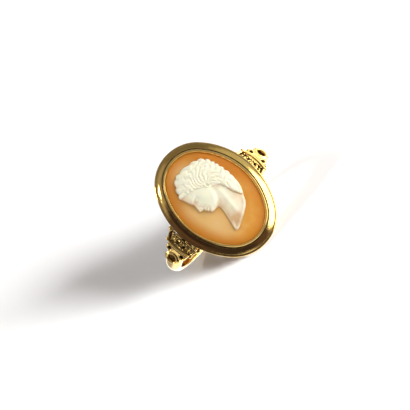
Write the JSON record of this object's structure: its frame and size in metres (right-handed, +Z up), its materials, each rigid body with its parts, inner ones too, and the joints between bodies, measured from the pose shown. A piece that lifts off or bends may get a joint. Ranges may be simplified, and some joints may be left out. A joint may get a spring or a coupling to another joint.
{
  "type": "cameo ring",
  "caption": "Gold ring with an oval shell cameo of a classical head, pierced scrollwork shoulders and a half-round shank, lying on its side.",
  "frame": {"origin": "bottom centre of the bounding box of the ring as it lies on its side on a table", "axes": "+Z up from the table, -Y the way the cameo looks out, +X towards the shoulder behind the carved head"},
  "size_m": [0.0194, 0.0226, 0.0156],
  "materials": {
    "gold": "polished",
    "shell_ground": "polished",
    "shell_relief": "satin"
  },
  "bodies": {
    "root": {"gold_mount": "gold", "cameo_ground": "shell_ground", "cameo_head": "shell_relief"}
  },
  "joints": []
}
